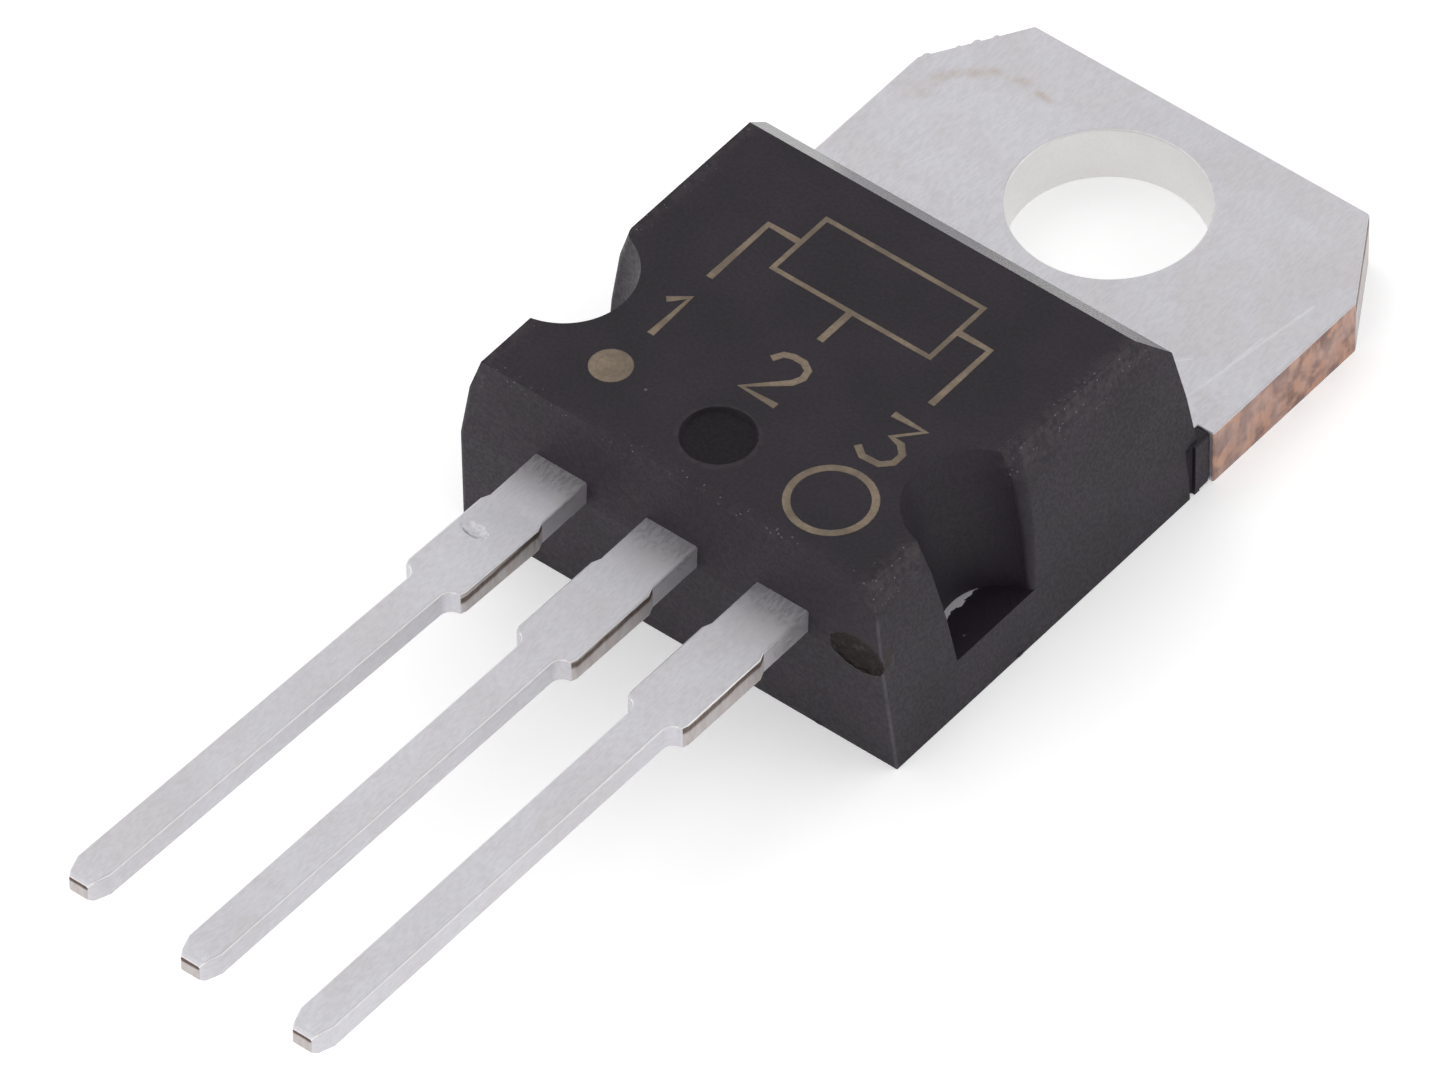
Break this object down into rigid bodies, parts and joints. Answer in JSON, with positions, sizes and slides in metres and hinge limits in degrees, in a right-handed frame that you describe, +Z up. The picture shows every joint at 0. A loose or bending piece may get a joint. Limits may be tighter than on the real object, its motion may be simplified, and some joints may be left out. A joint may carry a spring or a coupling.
{
  "type": "voltage regulator",
  "caption": "Three-lead voltage regulator: moulded epoxy package on a plated copper heat slug, with a drilled screw-down tab and straight leads.",
  "frame": {"origin": "centre of the screw hole on the tab's cooling face, the plane the part lies on", "axes": "+X across the package, to the right when the marked face is up and the leads point to the viewer; +Y from the leads towards the tab's end; +Z up, from the cooling face to the marked face"},
  "size_m": [0.0102, 0.0288, 0.0045],
  "materials": {
    "moulding_compound": "fine-grained matt charcoal epoxy",
    "tinned_copper": "dull tin plate over copper, bare copper on the sheared tab sides",
    "silicon": "polished",
    "solder": "dull",
    "bond_wire": "drawn"
  },
  "bodies": {
    "root": {"moulded_body": "moulding_compound", "tab_and_middle_lead": "tinned_copper", "left_lead": "tinned_copper", "right_lead": "tinned_copper", "regulator_chip": "silicon", "die_solder": "solder", "left_wire": "bond_wire", "right_wire": "bond_wire", "sense_wire": "bond_wire"}
  },
  "joints": []
}
